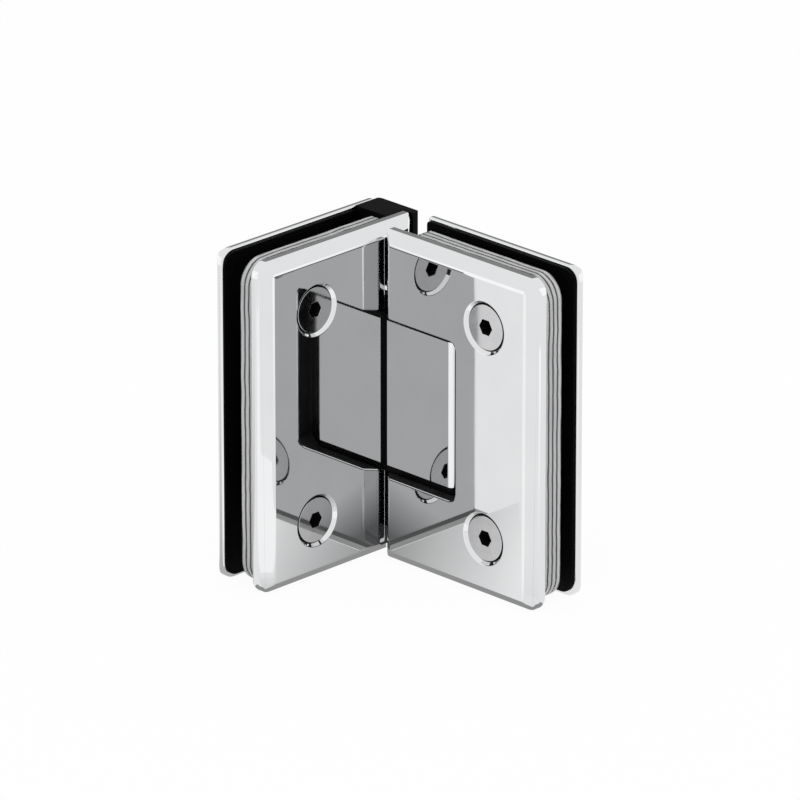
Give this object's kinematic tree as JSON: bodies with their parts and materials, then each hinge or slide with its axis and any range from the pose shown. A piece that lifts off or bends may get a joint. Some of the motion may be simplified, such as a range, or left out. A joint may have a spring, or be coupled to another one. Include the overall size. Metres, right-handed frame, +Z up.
{
  "type": "glass door hinge",
  "caption": "Right-angle glass-to-glass shower door hinge: two bevelled chrome clamp leaves with gasket sheets, turning on a pin through a recessed pivot block.",
  "frame": {"origin": "middle of the footprint, on the surface that the lower edges of the plates stand on", "axes": "+Z up along the pin, +X along the door leaf away from the corner, +Y out of the enclosure; the fixed leaf runs along -Y"},
  "size_m": [0.0766, 0.06, 0.09],
  "materials": {
    "polished_chrome": "mirror polished chrome plate",
    "plated_screw": "satin chrome plated socket screws",
    "clear_vinyl": "clear flexible vinyl",
    "black_rubber": "smooth black rubber",
    "acetal": "turned black acetal",
    "steel": "ground steel",
    "spring_steel": "drawn spring wire"
  },
  "bodies": {
    "fixed_leaf": {"fixed_inner_plate": "polished_chrome", "fixed_outer_plate": "polished_chrome", "fixed_clear_sheet_1": "clear_vinyl", "fixed_clear_sheet_2": "clear_vinyl", "fixed_clear_sheet_3": "clear_vinyl", "fixed_black_liner": "black_rubber", "fixed_end_spacer": "black_rubber", "fixed_clamp_screw_upper": "plated_screw", "fixed_clamp_screw_lower": "plated_screw", "pivot_block": "polished_chrome", "block_seal": "black_rubber", "block_screw_upper": "steel", "block_screw_middle": "steel", "block_screw_lower": "steel", "bush_upper": "acetal", "bush_lower": "acetal", "detent_spring_upper": "spring_steel", "detent_spring_lower": "spring_steel"},
    "door_leaf": {"door_inner_plate": "polished_chrome", "door_outer_plate": "polished_chrome", "door_clear_sheet_1": "clear_vinyl", "door_clear_sheet_2": "clear_vinyl", "door_clear_sheet_3": "clear_vinyl", "door_clear_sheet_4": "clear_vinyl", "door_black_liner": "black_rubber", "door_clamp_screw_upper": "plated_screw", "door_clamp_screw_lower": "plated_screw", "pivot_pin": "steel", "pin_set_screw_upper": "steel", "pin_set_screw_lower": "steel"},
    "plunger_upper": {"detent_plunger_upper": "steel"},
    "plunger_lower": {"detent_plunger_lower": "steel"}
  },
  "joints": [
    {"name": "door_swing", "type": "hinge", "parent": "fixed_leaf", "child": "door_leaf", "pos_m": [-0.00022, 0.01835, 0.045], "axis": [0, 0, 1], "range_deg": [-90, 90]},
    {"name": "plunger_upper_slide", "type": "slide", "parent": "fixed_leaf", "child": "plunger_upper", "axis": [1, 0, 0], "range_m": [-0.0003, 0], "stiffness_N_per_m": 200, "springref_m": 0.003},
    {"name": "plunger_lower_slide", "type": "slide", "parent": "fixed_leaf", "child": "plunger_lower", "axis": [1, 0, 0], "range_m": [-0.0003, 0], "stiffness_N_per_m": 200, "springref_m": 0.003}
  ]
}
